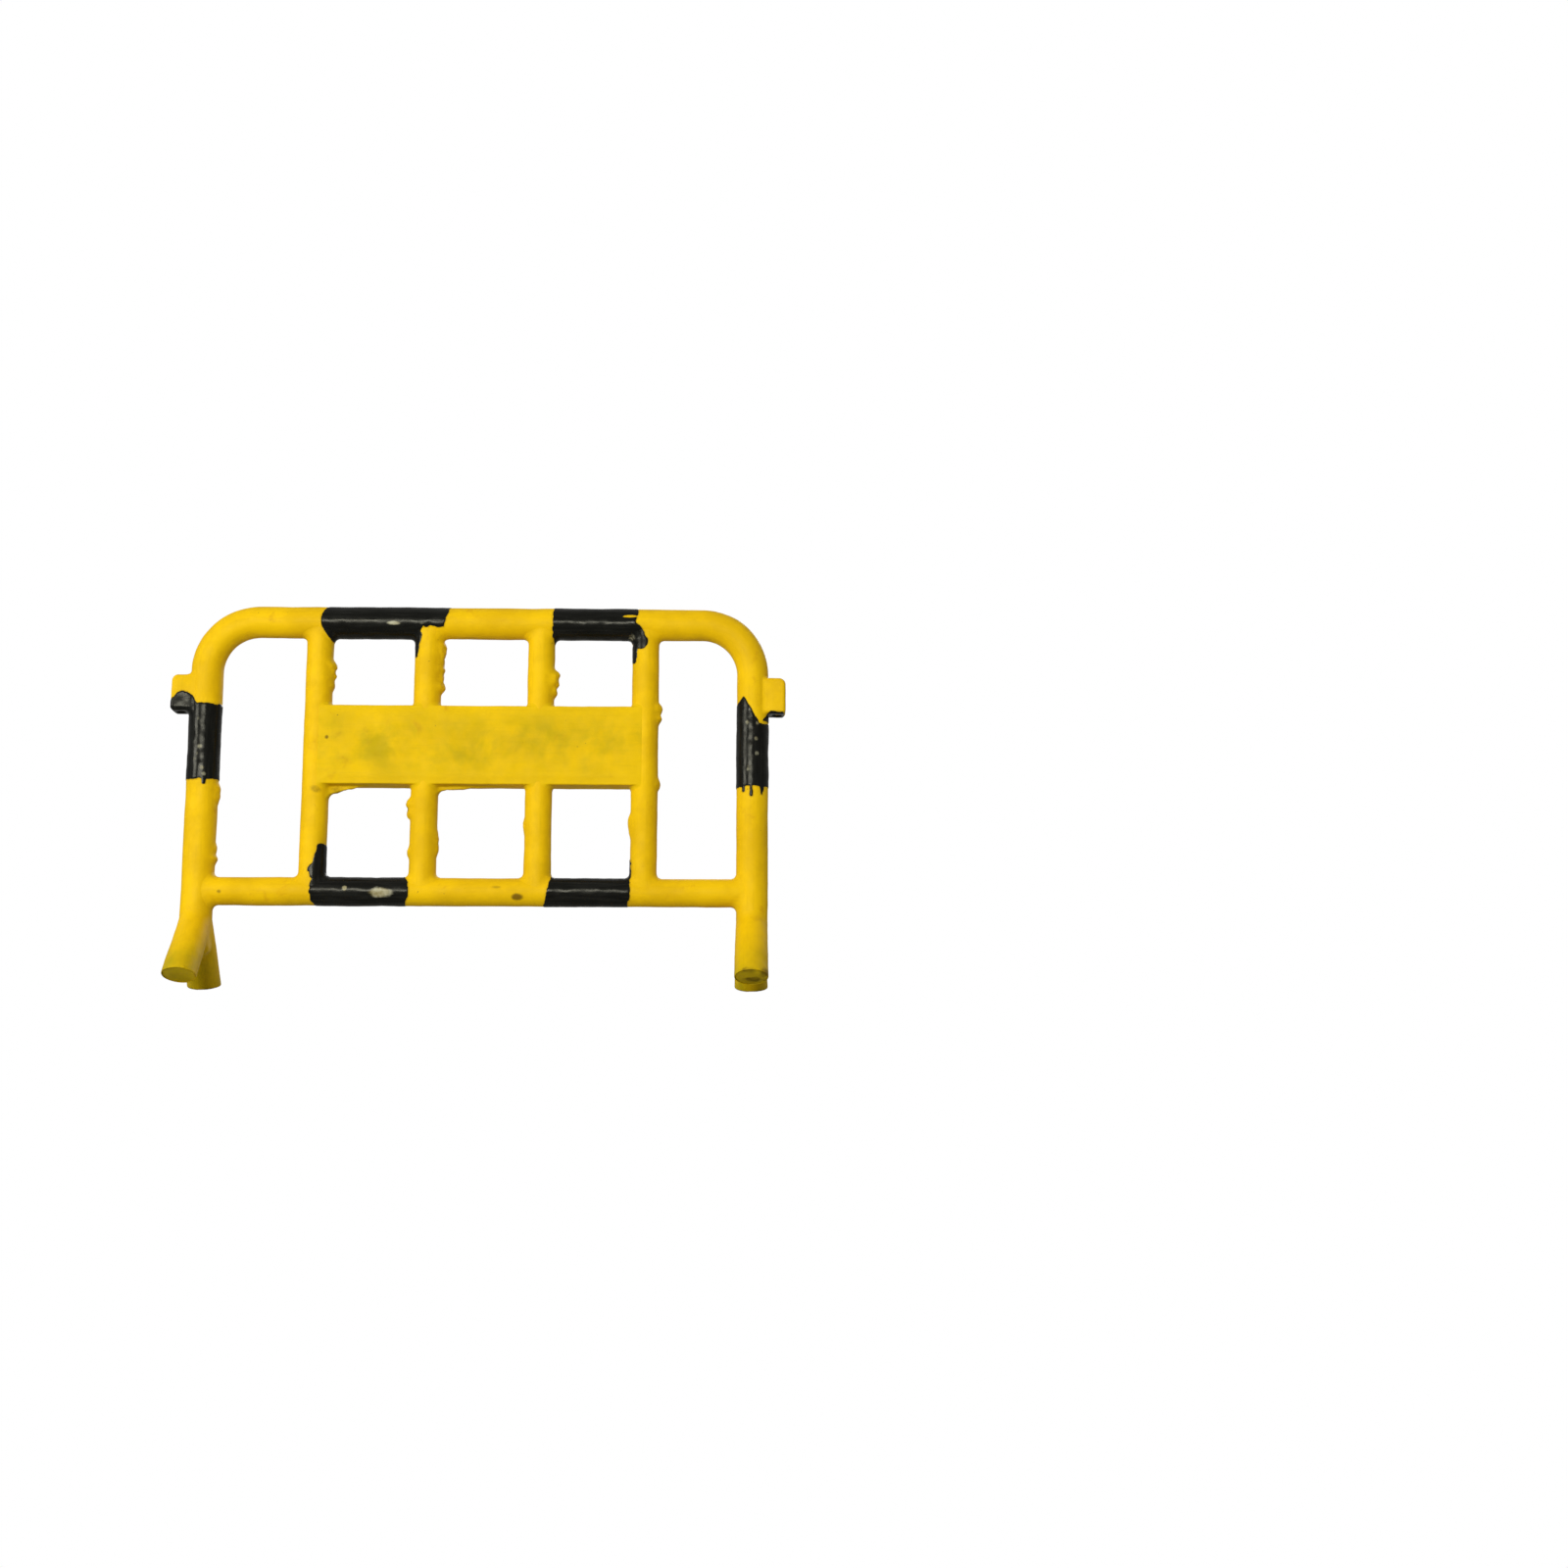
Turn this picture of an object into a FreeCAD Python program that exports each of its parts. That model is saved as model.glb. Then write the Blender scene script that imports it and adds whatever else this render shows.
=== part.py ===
import FreeCAD, Part
import math
import os

# A free-standing crowd control barrier welded up from steel tube.
# Millimetres. The origin is on the ground, midway between the two posts.
# +X runs along the barrier, +Y to its rear, +Z up.

# ---- overall sizes ----
post_spacing = 1426.0        # between the centre lines of the two posts
overall_height = 1000.0      # from the ground to the crest of the top rail

# ---- tube stock ----
hoop_diameter = 82.5         # the tube bent into both posts and the top rail
hoop_wall = 3.2
hoop_bend_radius = 133.0     # to the tube's centre line
rail_diameter = 73.0         # the straight bottom rail
rail_wall = 3.0
upright_diameter = 70.0
upright_wall = 2.9

# ---- where the rails and uprights stand ----
rail_height = 246.0          # ground to the bottom rail's centre line
upright_shares = (0.2048, 0.4032, 0.6108, 0.8029)   # of the post spacing, from the left post

# ---- sign panel ----
panel_bottom = 523.5
panel_height = 208.0
panel_sheet = 3.0            # thickness of the face sheets and of the edge strips
strip_end_share = 0.5        # how far up an upright's flank a strip ends, in upright radii

# ---- legs ----
knee_height = 170.0          # where the two legs leave the post
foot_spread = 133.0          # from the post's centre plane to the middle of a leg's end
foot_diameter = 89.0         # each leg is pressed wider towards the ground
leg_wall = 3.2
foot_tilt = 30.0             # degrees between a leg's cut end and the ground
heel_flat = 3.0              # how much of the lowest edge is ground away to bear flat
cap_recess = 1.5             # from a leg's cut end to the face of its cap
cap_thickness = 4.0

# ---- coupling lugs ----
lug_reach = 45.0             # from the post's flank outwards
lug_depth = 64.0
lug_height = 95.0
lug_bottom = 717.5
lug_top_corner = 17.0
lug_bottom_corner = 8.0
lug_edge_corner = 9.0        # rounding of the two outer vertical edges
pin_hole_diameter = 26.0
pin_hole_offset = 22.0       # from the post's flank to the hole's axis

# ---- weld beads ----
bead = 4.5                   # how far a bead stands on each tube

# ---- sizes that follow ----
hoop_radius = hoop_diameter / 2
rail_radius = rail_diameter / 2
upright_radius = upright_diameter / 2
foot_radius = foot_diameter / 2
post_x = post_spacing / 2
top_rail_height = overall_height - hoop_radius
foot_tilt_radians = math.radians(foot_tilt)
foot_end_height = foot_radius * math.sin(foot_tilt_radians) - heel_flat
leg_lean = math.atan2(foot_spread, knee_height - foot_end_height)
leg_length = math.hypot(foot_spread, knee_height - foot_end_height)
mitre_slope = math.tan(leg_lean / 2)
far = 4 * foot_spread        # safely beyond a leg in any direction


def upright_x(index):
    return post_spacing * (upright_shares[index] - 0.5)


def write(name, shape):
    os.makedirs("parts", exist_ok=True)
    shape.exportStep("parts/" + name + ".step")


def upright_rod(index, radius, low, high):
    base = FreeCAD.Vector(upright_x(index), 0, low)
    return Part.makeCylinder(radius, high - low, base, FreeCAD.Vector(0, 0, 1))


def long_rod(radius, height, start, length):
    base = FreeCAD.Vector(start, 0, height)
    return Part.makeCylinder(radius, length, base, FreeCAD.Vector(1, 0, 0))


def prism_across(points, x_low, x_high):
    """A solid whose outline in the Y-Z plane is points, running along X."""
    corners = [FreeCAD.Vector(x_low, y, z) for y, z in points]
    face = Part.Face(Part.makePolygon(corners + corners[:1]))
    return face.extrude(FreeCAD.Vector(x_high - x_low, 0, 0))


# ---- bent hoop: left post, top rail and right post from one tube ----
def hoop_path(foot_height):
    """The tube's centre line, up one side, over and down the other."""
    bend_height = top_rail_height - hoop_bend_radius
    bend_x = post_x - hoop_bend_radius
    swing = hoop_bend_radius * math.sqrt(0.5)
    points = {}
    for side in (-1, 1):
        foot = FreeCAD.Vector(side * post_x, 0, foot_height)
        spring = FreeCAD.Vector(side * post_x, 0, bend_height)
        middle = FreeCAD.Vector(side * (bend_x + swing), 0, bend_height + swing)
        crest = FreeCAD.Vector(side * bend_x, 0, top_rail_height)
        points[side] = (foot, spring, middle, crest)
    left = points[-1]
    right = points[1]
    edges = [
        Part.makeLine(left[0], left[1]),
        Part.Arc(left[1], left[2], left[3]).toShape(),
        Part.makeLine(left[3], right[3]),
        Part.Arc(right[3], right[2], right[1]).toShape(),
        Part.makeLine(right[1], right[0]),
    ]
    return Part.Wire(edges)


def bent_rod(radius, foot_height):
    start = FreeCAD.Vector(-post_x, 0, foot_height)
    ring = Part.Wire([Part.makeCircle(radius, start, FreeCAD.Vector(0, 0, 1))])
    return hoop_path(foot_height).makePipeShell([ring], True, True)


def below_knees(x_low, x_high):
    """The room that the legs take below the post's mitred end."""
    outline = [
        (0, knee_height),
        (far, knee_height + far * mitre_slope),
        (far, -far),
        (-far, -far),
        (-far, knee_height + far * mitre_slope),
    ]
    return prism_across(outline, x_low, x_high)


hoop_foot_height = knee_height - hoop_diameter
hoop_solid = bent_rod(hoop_radius, hoop_foot_height)
hoop_bore = bent_rod(hoop_radius - hoop_wall, hoop_foot_height)
hoop = hoop_solid.cut(hoop_bore)
for side in (-1, 1):
    middle = side * post_x
    hoop = hoop.cut(below_knees(middle - hoop_diameter, middle + hoop_diameter))
write("hoop_tube", hoop)

# ---- bottom rail, coped onto both posts ----
rail_rod = long_rod(rail_radius, rail_height, -post_x, post_spacing)
rail_bore = long_rod(rail_radius - rail_wall, rail_height, -post_x, post_spacing)
write("bottom_rail", rail_rod.cut(rail_bore).cut(hoop_solid))

# ---- four uprights, coped onto the two rails ----
for index in range(len(upright_shares)):
    outside = upright_rod(index, upright_radius, rail_height, top_rail_height)
    bore = upright_rod(index, upright_radius - upright_wall, rail_height, top_rail_height)
    tube = outside.cut(bore).cut(rail_rod).cut(hoop_solid)
    write("upright_" + str(index + 1), tube)

# ---- sign panel: a sheet on each face and strips closing its edges ----
panel_top = panel_bottom + panel_height
panel_left = upright_x(0)
panel_right = upright_x(len(upright_shares) - 1)
for name, low in (("front", -upright_radius - panel_sheet), ("rear", upright_radius)):
    corner = FreeCAD.Vector(panel_left, low, panel_bottom)
    sheet = Part.makeBox(panel_right - panel_left, panel_sheet, panel_height, corner)
    write("panel_" + name + "_sheet", sheet)

strip_start = strip_end_share * upright_radius
for bay in range(len(upright_shares) - 1):
    left = upright_x(bay) + strip_start
    right = upright_x(bay + 1) - strip_start
    for name, low in (("lower", panel_bottom), ("upper", panel_top - panel_sheet)):
        corner = FreeCAD.Vector(left, -upright_radius, low)
        strip = Part.makeBox(right - left, upright_diameter, panel_sheet, corner)
        for index in (bay, bay + 1):
            strip = strip.cut(upright_rod(index, upright_radius, rail_height, top_rail_height))
        write("panel_" + name + "_strip_" + str(bay + 1), strip)


# ---- splayed legs, two under each post, and their end caps ----
def leg_cone(side_x, side_y, inset):
    """A leg's outside (inset 0) or bore, running past both of its ends."""
    knee = FreeCAD.Vector(side_x * post_x, 0, knee_height)
    along = FreeCAD.Vector(0, side_y * math.sin(leg_lean), -math.cos(leg_lean))
    run_out = hoop_diameter
    slope = (foot_radius - hoop_radius) / leg_length
    top_radius = hoop_radius - inset - slope * run_out
    end_radius = foot_radius - inset + slope * run_out
    top = knee - along * run_out
    return Part.makeCone(top_radius, end_radius, leg_length + 2 * run_out, top, along)


def along_cut(side_y, run, lift):
    """A point on a leg's cut end, run up it from its middle and lifted into the leg."""
    y = foot_spread + run * math.cos(foot_tilt_radians) - lift * math.sin(foot_tilt_radians)
    z = foot_end_height + run * math.sin(foot_tilt_radians) + lift * math.cos(foot_tilt_radians)
    return (side_y * y, z)


def leg_room(side_x, side_y):
    """One leg's share of the space under its post, down to the ground and its cut end."""
    heel = -foot_end_height / math.sin(foot_tilt_radians)
    outline = [
        (0, knee_height),
        (side_y * far, knee_height + far * mitre_slope),
        along_cut(side_y, far, 0),
        along_cut(side_y, heel, 0),
        (0, 0),
    ]
    middle = side_x * post_x
    return prism_across(outline, middle - foot_diameter, middle + foot_diameter)


def cap_band(side_x, side_y):
    outline = [
        along_cut(side_y, -foot_diameter, cap_recess),
        along_cut(side_y, foot_diameter, cap_recess),
        along_cut(side_y, foot_diameter, cap_recess + cap_thickness),
        along_cut(side_y, -foot_diameter, cap_recess + cap_thickness),
    ]
    middle = side_x * post_x
    return prism_across(outline, middle - foot_diameter, middle + foot_diameter)


for x_name, side_x in (("left", -1), ("right", 1)):
    for y_name, side_y in (("front", -1), ("rear", 1)):
        room = leg_room(side_x, side_y)
        bore = leg_cone(side_x, side_y, leg_wall)
        leg = leg_cone(side_x, side_y, 0).cut(bore).common(room)
        write("leg_" + x_name + "_" + y_name, leg)
        cap = bore.common(cap_band(side_x, side_y)).common(room)
        write("leg_cap_" + x_name + "_" + y_name, cap)


# ---- coupling lugs on the outer flanks of the posts ----
def lug_front_outline(side):
    """The lug as seen from the front, from the post's centre line outwards."""
    inner = side * post_x
    outer = side * (post_x + hoop_radius + lug_reach)
    top = lug_bottom + lug_height
    round_top = lug_top_corner
    round_low = lug_bottom_corner
    turn = 1 - math.sqrt(0.5)
    edges = [
        Part.makeLine(FreeCAD.Vector(inner, 0, lug_bottom),
                      FreeCAD.Vector(outer - side * round_low, 0, lug_bottom)),
        Part.Arc(FreeCAD.Vector(outer - side * round_low, 0, lug_bottom),
                 FreeCAD.Vector(outer - side * round_low * turn, 0, lug_bottom + round_low * turn),
                 FreeCAD.Vector(outer, 0, lug_bottom + round_low)).toShape(),
        Part.makeLine(FreeCAD.Vector(outer, 0, lug_bottom + round_low),
                      FreeCAD.Vector(outer, 0, top - round_top)),
        Part.Arc(FreeCAD.Vector(outer, 0, top - round_top),
                 FreeCAD.Vector(outer - side * round_top * turn, 0, top - round_top * turn),
                 FreeCAD.Vector(outer - side * round_top, 0, top)).toShape(),
        Part.makeLine(FreeCAD.Vector(outer - side * round_top, 0, top),
                      FreeCAD.Vector(inner, 0, top)),
        Part.makeLine(FreeCAD.Vector(inner, 0, top), FreeCAD.Vector(inner, 0, lug_bottom)),
    ]
    face = Part.Face(Part.Wire(edges))
    face.translate(FreeCAD.Vector(0, -lug_depth / 2, 0))
    return face.extrude(FreeCAD.Vector(0, lug_depth, 0))


def lug_plan(side):
    """The lug as seen from above: a block with its two outer edges rounded."""
    inner = side * post_x
    outer = side * (post_x + hoop_radius + lug_reach)
    low = min(inner, outer)
    height = lug_height + lug_bottom
    block = Part.makeBox(abs(outer - inner), lug_depth, height, FreeCAD.Vector(low, -lug_depth / 2, 0))
    upright_edges = []
    for edge in block.Edges:
        ends = edge.Vertexes
        stands = abs(ends[0].Z - ends[1].Z) > height / 2
        if stands and abs(ends[0].X - outer) < lug_edge_corner:
            upright_edges.append(edge)
    return block.makeFillet(lug_edge_corner, upright_edges)


for name, side in (("left", -1), ("right", 1)):
    hole_x = side * (post_x + hoop_radius + pin_hole_offset)
    hole = Part.makeCylinder(pin_hole_diameter / 2, 2 * lug_height,
                             FreeCAD.Vector(hole_x, 0, lug_bottom - lug_height / 2),
                             FreeCAD.Vector(0, 0, 1))
    lug = lug_front_outline(side).common(lug_plan(side)).cut(hoop_solid).cut(hole)
    write("coupling_lug_" + name, lug)


# ---- weld beads round the coped joints ----
hoop_offset = bent_rod(hoop_radius + bead, hoop_foot_height)
rail_offset = long_rod(rail_radius + bead, rail_height, -post_x, post_spacing)
middle_height = (rail_height + top_rail_height) / 2
for index in range(len(upright_shares)):
    inside = upright_rod(index, upright_radius, rail_height, top_rail_height)
    upper = upright_rod(index, upright_radius + bead, middle_height, top_rail_height)
    upper = upper.common(hoop_offset).cut(inside).cut(hoop_solid)
    write("weld_upright_" + str(index + 1) + "_top", upper)
    lower = upright_rod(index, upright_radius + bead, rail_height, middle_height)
    lower = lower.common(rail_offset).cut(inside).cut(rail_rod)
    write("weld_upright_" + str(index + 1) + "_bottom", lower)

for name, side in (("left", -1), ("right", 1)):
    start = min(side * post_x, 0)
    ring = long_rod(rail_radius + bead, rail_height, start, post_x)
    ring = ring.common(hoop_offset).cut(rail_rod).cut(hoop_solid)
    write("weld_rail_" + name, ring)
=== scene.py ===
import math

import bpy
import numpy as np
from mathutils import Matrix, Vector


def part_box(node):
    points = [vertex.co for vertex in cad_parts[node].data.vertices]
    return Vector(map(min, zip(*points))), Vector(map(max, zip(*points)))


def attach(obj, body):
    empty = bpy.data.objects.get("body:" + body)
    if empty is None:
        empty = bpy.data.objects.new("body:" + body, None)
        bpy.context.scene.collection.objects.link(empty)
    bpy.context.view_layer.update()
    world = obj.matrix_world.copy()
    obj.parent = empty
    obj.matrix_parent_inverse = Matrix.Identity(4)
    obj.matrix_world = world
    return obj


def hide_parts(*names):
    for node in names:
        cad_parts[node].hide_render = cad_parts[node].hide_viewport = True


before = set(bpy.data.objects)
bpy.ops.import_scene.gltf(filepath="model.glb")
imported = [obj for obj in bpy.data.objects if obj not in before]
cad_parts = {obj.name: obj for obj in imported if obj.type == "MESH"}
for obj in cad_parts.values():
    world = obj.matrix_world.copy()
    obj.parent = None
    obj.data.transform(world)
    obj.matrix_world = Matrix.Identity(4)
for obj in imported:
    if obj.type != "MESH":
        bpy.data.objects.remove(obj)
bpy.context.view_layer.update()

# ---------------------------------------------------------------------------
# The hoop: one steel tube bent twice on a former, making both posts and the
# top rail. It is dipped in yellow, then banded in black with a wide brush.
# ---------------------------------------------------------------------------
MM = 1000.0


def node_box(name):
    """A CAD node's lowest and highest corners, in millimetres."""
    low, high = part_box(name)
    return np.array(low) * MM, np.array(high) * MM


hoop_low, hoop_high = node_box("hoop_tube")
HOOP_R = (hoop_high[1] - hoop_low[1]) / 2
POST_X = hoop_high[0] - HOOP_R
TOP_Z = hoop_high[2] - HOOP_R
KNEE_Z = hoop_low[2]
BEND_R = 133.0
BEND_X = POST_X - BEND_R
BEND_Z = TOP_Z - BEND_R


def length(*parts):
    total = 0.0
    for part in parts:
        total = total + part * part
    return np.sqrt(total)


def soft_join(a, b, reach):
    """The nearer of two skins, with weld metal or thick paint filling the corner."""
    h = np.maximum(reach - np.abs(a - b), 0.0) / reach
    return np.minimum(a, b) - h * h * reach * 0.25


def soft_cut(a, b, reach):
    return -soft_join(-a, -b, reach)


def lattice(seed, cell):
    """Repeatable random values, one for each whole-number cell; the products wrap round on purpose."""
    with np.errstate(over="ignore"):
        a = cell[..., 0] * 73856093 ^ cell[..., 1] * 19349663 ^ cell[..., 2] * 83492791
        a = (a ^ seed * 2654435761) & 0xFFFFFFFF
        a = (a ^ (a >> 15)) * 2246822519 & 0xFFFFFFFF
        a = (a ^ (a >> 13)) * 3266489917 & 0xFFFFFFFF
    return ((a ^ (a >> 16)) & 0xFFFF) / 32767.5 - 1.0


def mottle(x, y, z, size, seed):
    """Smooth repeatable unevenness between -1 and 1, with lumps of that size."""
    p = np.stack(np.broadcast_arrays(x, y, z), -1) / size
    cell = np.floor(p).astype(np.int64)
    f = p - cell
    f = f * f * (3 - 2 * f)
    total = 0.0
    for corner in range(8):
        o = np.array([corner & 1, corner >> 1 & 1, corner >> 2 & 1])
        weight = np.prod(np.where(o == 1, f, 1 - f), -1)
        total = total + weight * lattice(seed, cell + o)
    return total


DRIP_PITCH = 26.0
DRIP_ROOT = 7.0
DRIP_REACH = 8.0


def drip_lumps(runs):
    """Splits each run of set paint (top, bottom, how proud) into its lumps."""
    vary = np.random.default_rng(5)
    lumps = []
    for top, bottom, proud in runs:
        for height in np.linspace(top, bottom, int((top - bottom) / DRIP_PITCH) + 2):
            lumps.append((height, proud * vary.uniform(0.5, 1.0), vary.uniform(9.0, 15.0)))
    return lumps


def add_drips(gap, lumps, flank, x, y, z):
    """Paint that ran down a tube's flank: the x of that flank, and which way is outward."""
    edge, way = flank
    for height, proud, half in lumps:
        if np.min(np.abs(z - height)) > half + 14.0:
            continue
        wide = proud + DRIP_ROOT
        centre = edge + way * (proud - wide)
        lump = length((x - centre) / wide, (y - 1.0) / (wide + 3.0), (z - height) / (half + 3.0))
        lump = (lump - 1.0) * min(wide, half) + 1.6 * mottle(x, y, z, 11.0, 31)
        gap = soft_join(gap, lump, DRIP_REACH)
    return gap


hoop_lumps = drip_lumps([(510, 490, 8), (355, 330, 9)])


def hoop_skin(x, y, z):
    """Distance from the hoop's skin, negative inside the steel, and which way is outward."""
    ax = np.abs(x)
    post_x, post_z = ax - POST_X, z - np.clip(z, KNEE_Z, BEND_Z)
    rail_x, rail_z = np.maximum(ax - BEND_X, 0.0), z - TOP_Z
    from_former = 1.0 - BEND_R / (length(ax - BEND_X, z - BEND_Z) + 1e-6)
    in_bend = (ax > BEND_X) & (z > BEND_Z)
    on_rail = length(rail_x, rail_z) < length(post_x, post_z)
    dx = np.where(in_bend, (ax - BEND_X) * from_former, np.where(on_rail, rail_x, post_x))
    dz = np.where(in_bend, (z - BEND_Z) * from_former, np.where(on_rail, rail_z, post_z))
    size = length(dx, y, dz) + 1e-6
    gap = add_drips(size - HOOP_R, hoop_lumps, (HOOP_R - POST_X, 1), x, y, z)
    return gap, np.where(x < 0.0, -1.0, 1.0) * dx / size, y / size, dz / size


def hoop_way(x, y, z):
    """Where a point lies along the tube, and across it both ways."""
    ax = np.abs(x)
    turn = np.arctan2(np.maximum(z - BEND_Z, 0.0), np.maximum(ax - BEND_X, 1e-6))
    in_bend = (ax > BEND_X) & (z > BEND_Z)
    on_post = z <= BEND_Z
    crest = BEND_Z + math.pi / 2 * BEND_R
    along = np.where(on_post, z, crest + BEND_X - ax)
    along = np.where(in_bend, BEND_Z + turn * BEND_R, along)
    across = np.where(on_post, ax - POST_X, z - TOP_Z)
    across = np.where(in_bend, length(ax - BEND_X, z - BEND_Z) - BEND_R, across)
    return np.sign(x) * along, y, across


# Black licks that ran or were wiped off a band: from, to, half width at each end.
black_licks = [
    ((-165, 920), (-168, 865), 11, 3), ((402, 935), (420, 905), 20, 18), ((402, 890), (402, 855), 10, 4),
    ((690, 530), (690, 510), 5, 3), ((710, 530), (710, 498), 5, 3), ((737, 530), (737, 502), 7, 3),
    ((-700, 545), (-702, 525), 8, 4),
]


# How far beyond a tube's skin a band is taken, so that it covers the welds too.
BAND_PAST_TUBE = 12.0
TOP_LEFT_BAND = (-416.0, -92.0)
TOP_RIGHT_BAND = (189.0, 408.0)
SECOND_UPRIGHT_FOOT = 37.0


def top_bands(x, z):
    """Two bands on the top rail; the left one stops short over the second upright."""
    tube_foot = TOP_Z - HOOP_R - BAND_PAST_TUBE
    foot = tube_foot + SECOND_UPRIGHT_FOOT * np.clip((x + 175.0) / 25.0, 0.0, 1.0)
    bowed_end = x - TOP_LEFT_BAND[0] - 0.010 * (z - TOP_Z) ** 2
    leaning_end = TOP_LEFT_BAND[1] + 0.3 * (z - TOP_Z) - x
    left = np.minimum(bowed_end, leaning_end)
    right = np.minimum(x - TOP_RIGHT_BAND[0], TOP_RIGHT_BAND[1] - 0.1 * (TOP_Z - z) - x)
    return np.maximum(np.minimum(left, z - foot), np.minimum(right, z - tube_foot))


LEFT_POST_BAND = (534.0, 733.0)
RIGHT_POST_BAND = (521.0, 690.0)
# The band's arch over the left lug, and its peak on the right post, as (x, z).
LUG_ARCH = (-767.0, 766.0)
RIGHT_PEAK = (690.0, 762.0)
UNDER_RIGHT_LUG = (765.0, 724.0)


def post_bands(x, z):
    """A band on each post and one under each lug, arched on the left and slanting on the right."""
    beside = np.abs(x) - (POST_X - HOOP_R - BAND_PAST_TUBE)
    left_post = np.minimum(np.minimum(LEFT_POST_BAND[1] - z, z - LEFT_POST_BAND[0]), beside)
    arch = LUG_ARCH[1] - 0.022 * (x - LUG_ARCH[0]) ** 2
    left_lug = np.minimum(np.minimum(arch - z, z - 700.0), -712.0 - x)
    left = np.maximum(left_post, left_lug)
    from_peak = x - RIGHT_PEAK[0]
    tongue = RIGHT_PEAK[1] - 1.1 * np.maximum(-from_peak, 0.0) - 1.8 * np.maximum(from_peak, 0.0)
    right_top = np.maximum(tongue, RIGHT_POST_BAND[1])
    right_post = np.minimum(right_top - z, z - RIGHT_POST_BAND[0])
    right_post = np.minimum(right_post, np.minimum(beside, 768.0 - x))
    past_slant = x - UNDER_RIGHT_LUG[0]
    slant = UNDER_RIGHT_LUG[1] - 0.18 * np.maximum(past_slant, 0.0) - 0.04 * np.maximum(-past_slant, 0.0) ** 2
    under_lug = np.minimum(slant - z, z - 696.0)
    right = np.where(x > 738.0, np.maximum(right_post, under_lug), right_post)
    return np.where(x < 0.0, left, right)


black_bands = [top_bands, post_bands]
# Places missed by the brush: x, z, half length, half height.
bare_streaks = [(390, 972, 19, 3)]
# Chips down to pale primer: x, z, half length, half height, how strong.
scuffs = [(-225, 950, 15, 4, 0.9), (-150, 950, 10, 4, 0.5), (395, 920, 8, 9, 0.4)]
knocks = np.random.default_rng(12)
for side in (-1, 1):
    for _ in range(6):
        across, height = knocks.uniform(-16.0, 16.0), knocks.uniform(545.0, 700.0)
        scuffs.append((side * POST_X + across, height, 6, 6, knocks.uniform(0.35, 0.6)))
# Rust and dirt spots on the yellow, likewise.
stains = [(-730, 610, 6, 9, 0.3), (-705, 430, 5, 7, 0.25), (725, 880, 8, 5, 0.25)]


def inside_lick(lick, x, z):
    """Millimetres inside a tapering lick of paint, negative outside it."""
    (ax, az), (bx, bz), start, end = lick
    ex, ez = bx - ax, bz - az
    t = np.clip(((x - ax) * ex + (z - az) * ez) / (ex * ex + ez * ez), 0.0, 1.0)
    return start + (end - start) * t - length(x - ax - ex * t, z - az - ez * t)


def black_cover(x, y, z):
    """Millimetres inside the black paint, with the brush's ragged edge."""
    wander = 1.7 * mottle(x, y, z, 14.0, 11) + 1.1 * mottle(x, y, z, 5.0, 12)
    wander = wander + 5.0 * mottle(x, y, z, 30.0, 13) * np.clip(y / 30.0, 0.0, 1.0)
    cover = np.full(x.shape, -60.0)
    for band in black_bands:
        cover = np.maximum(cover, band(x, z) + 2.2 * mottle(x, 0.0 * y, z, 10.0, 14))
    for lick in black_licks:
        cover = np.maximum(cover, inside_lick(lick, x, z))
    cover = cover + wander
    for sx, sz, half_x, half_z in bare_streaks:
        streak = (1.0 - length((x - sx) / half_x, (z - sz) / half_z)) * min(half_x, half_z)
        cover = np.where(y < 0.0, np.minimum(cover, -streak), cover)
    return cover


def marks_at(marks, x, y, z):
    """How strongly any of the marks shows, fading to nothing at their edges."""
    total = np.zeros(x.shape)
    for mx, mz, half_x, half_z, strength in marks:
        round_it = length((x - mx) / half_x, (z - mz) / half_z)
        total = np.maximum(total, strength * np.clip(1.6 - round_it, 0.0, 1.0))
    return np.where(y < 5.0, total, 0.0)


def draw_skin(values, low, step):
    """A closed quad skin where a block of distances passes through zero."""
    inside = values < 0.0
    shape = np.array(values.shape) - 1
    cells, points, quads, flips = [], [], [], []
    for axis in range(3):
        first = [slice(None)] * 3
        second = [slice(None)] * 3
        first[axis] = slice(0, -1)
        second[axis] = slice(1, None)
        first, second = tuple(first), tuple(second)
        crossing = inside[first] != inside[second]
        index = np.argwhere(crossing)
        a = values[first][crossing]
        b = values[second][crossing]
        place = index.astype(float)
        place[:, axis] += a / (a - b)
        one, two = [k for k in range(3) if k != axis]
        ring = []
        for p, q in ((-1, -1), (0, -1), (0, 0), (-1, 0)):
            cell = index.copy()
            cell[:, one] += p
            cell[:, two] += q
            ring.append(cell)
            cells.append(np.ravel_multi_index(cell.T, shape))
            points.append(place)
        quads.append(np.ravel_multi_index(np.stack(ring, 1).reshape(-1, 3).T, shape).reshape(-1, 4))
        up = inside[first][crossing]
        flips.append(up if axis != 1 else ~up)
    cells = np.concatenate(cells)
    points = np.concatenate(points)
    names, where = np.unique(cells, return_inverse=True)
    count = np.bincount(where)
    verts = np.stack([np.bincount(where, points[:, k]) / count for k in range(3)], 1)
    quads = np.searchsorted(names, np.concatenate(quads))
    flips = np.concatenate(flips)
    quads[~flips] = quads[~flips][:, ::-1]
    return verts * step + low, quads


PAINT_THICK = 1.1
# Blocks of the grid are skipped where no skin can pass through them.
BLOCK = 12
# A welded piece runs on this far under the skin of what it is welded onto.
COPE = 4.0


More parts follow.
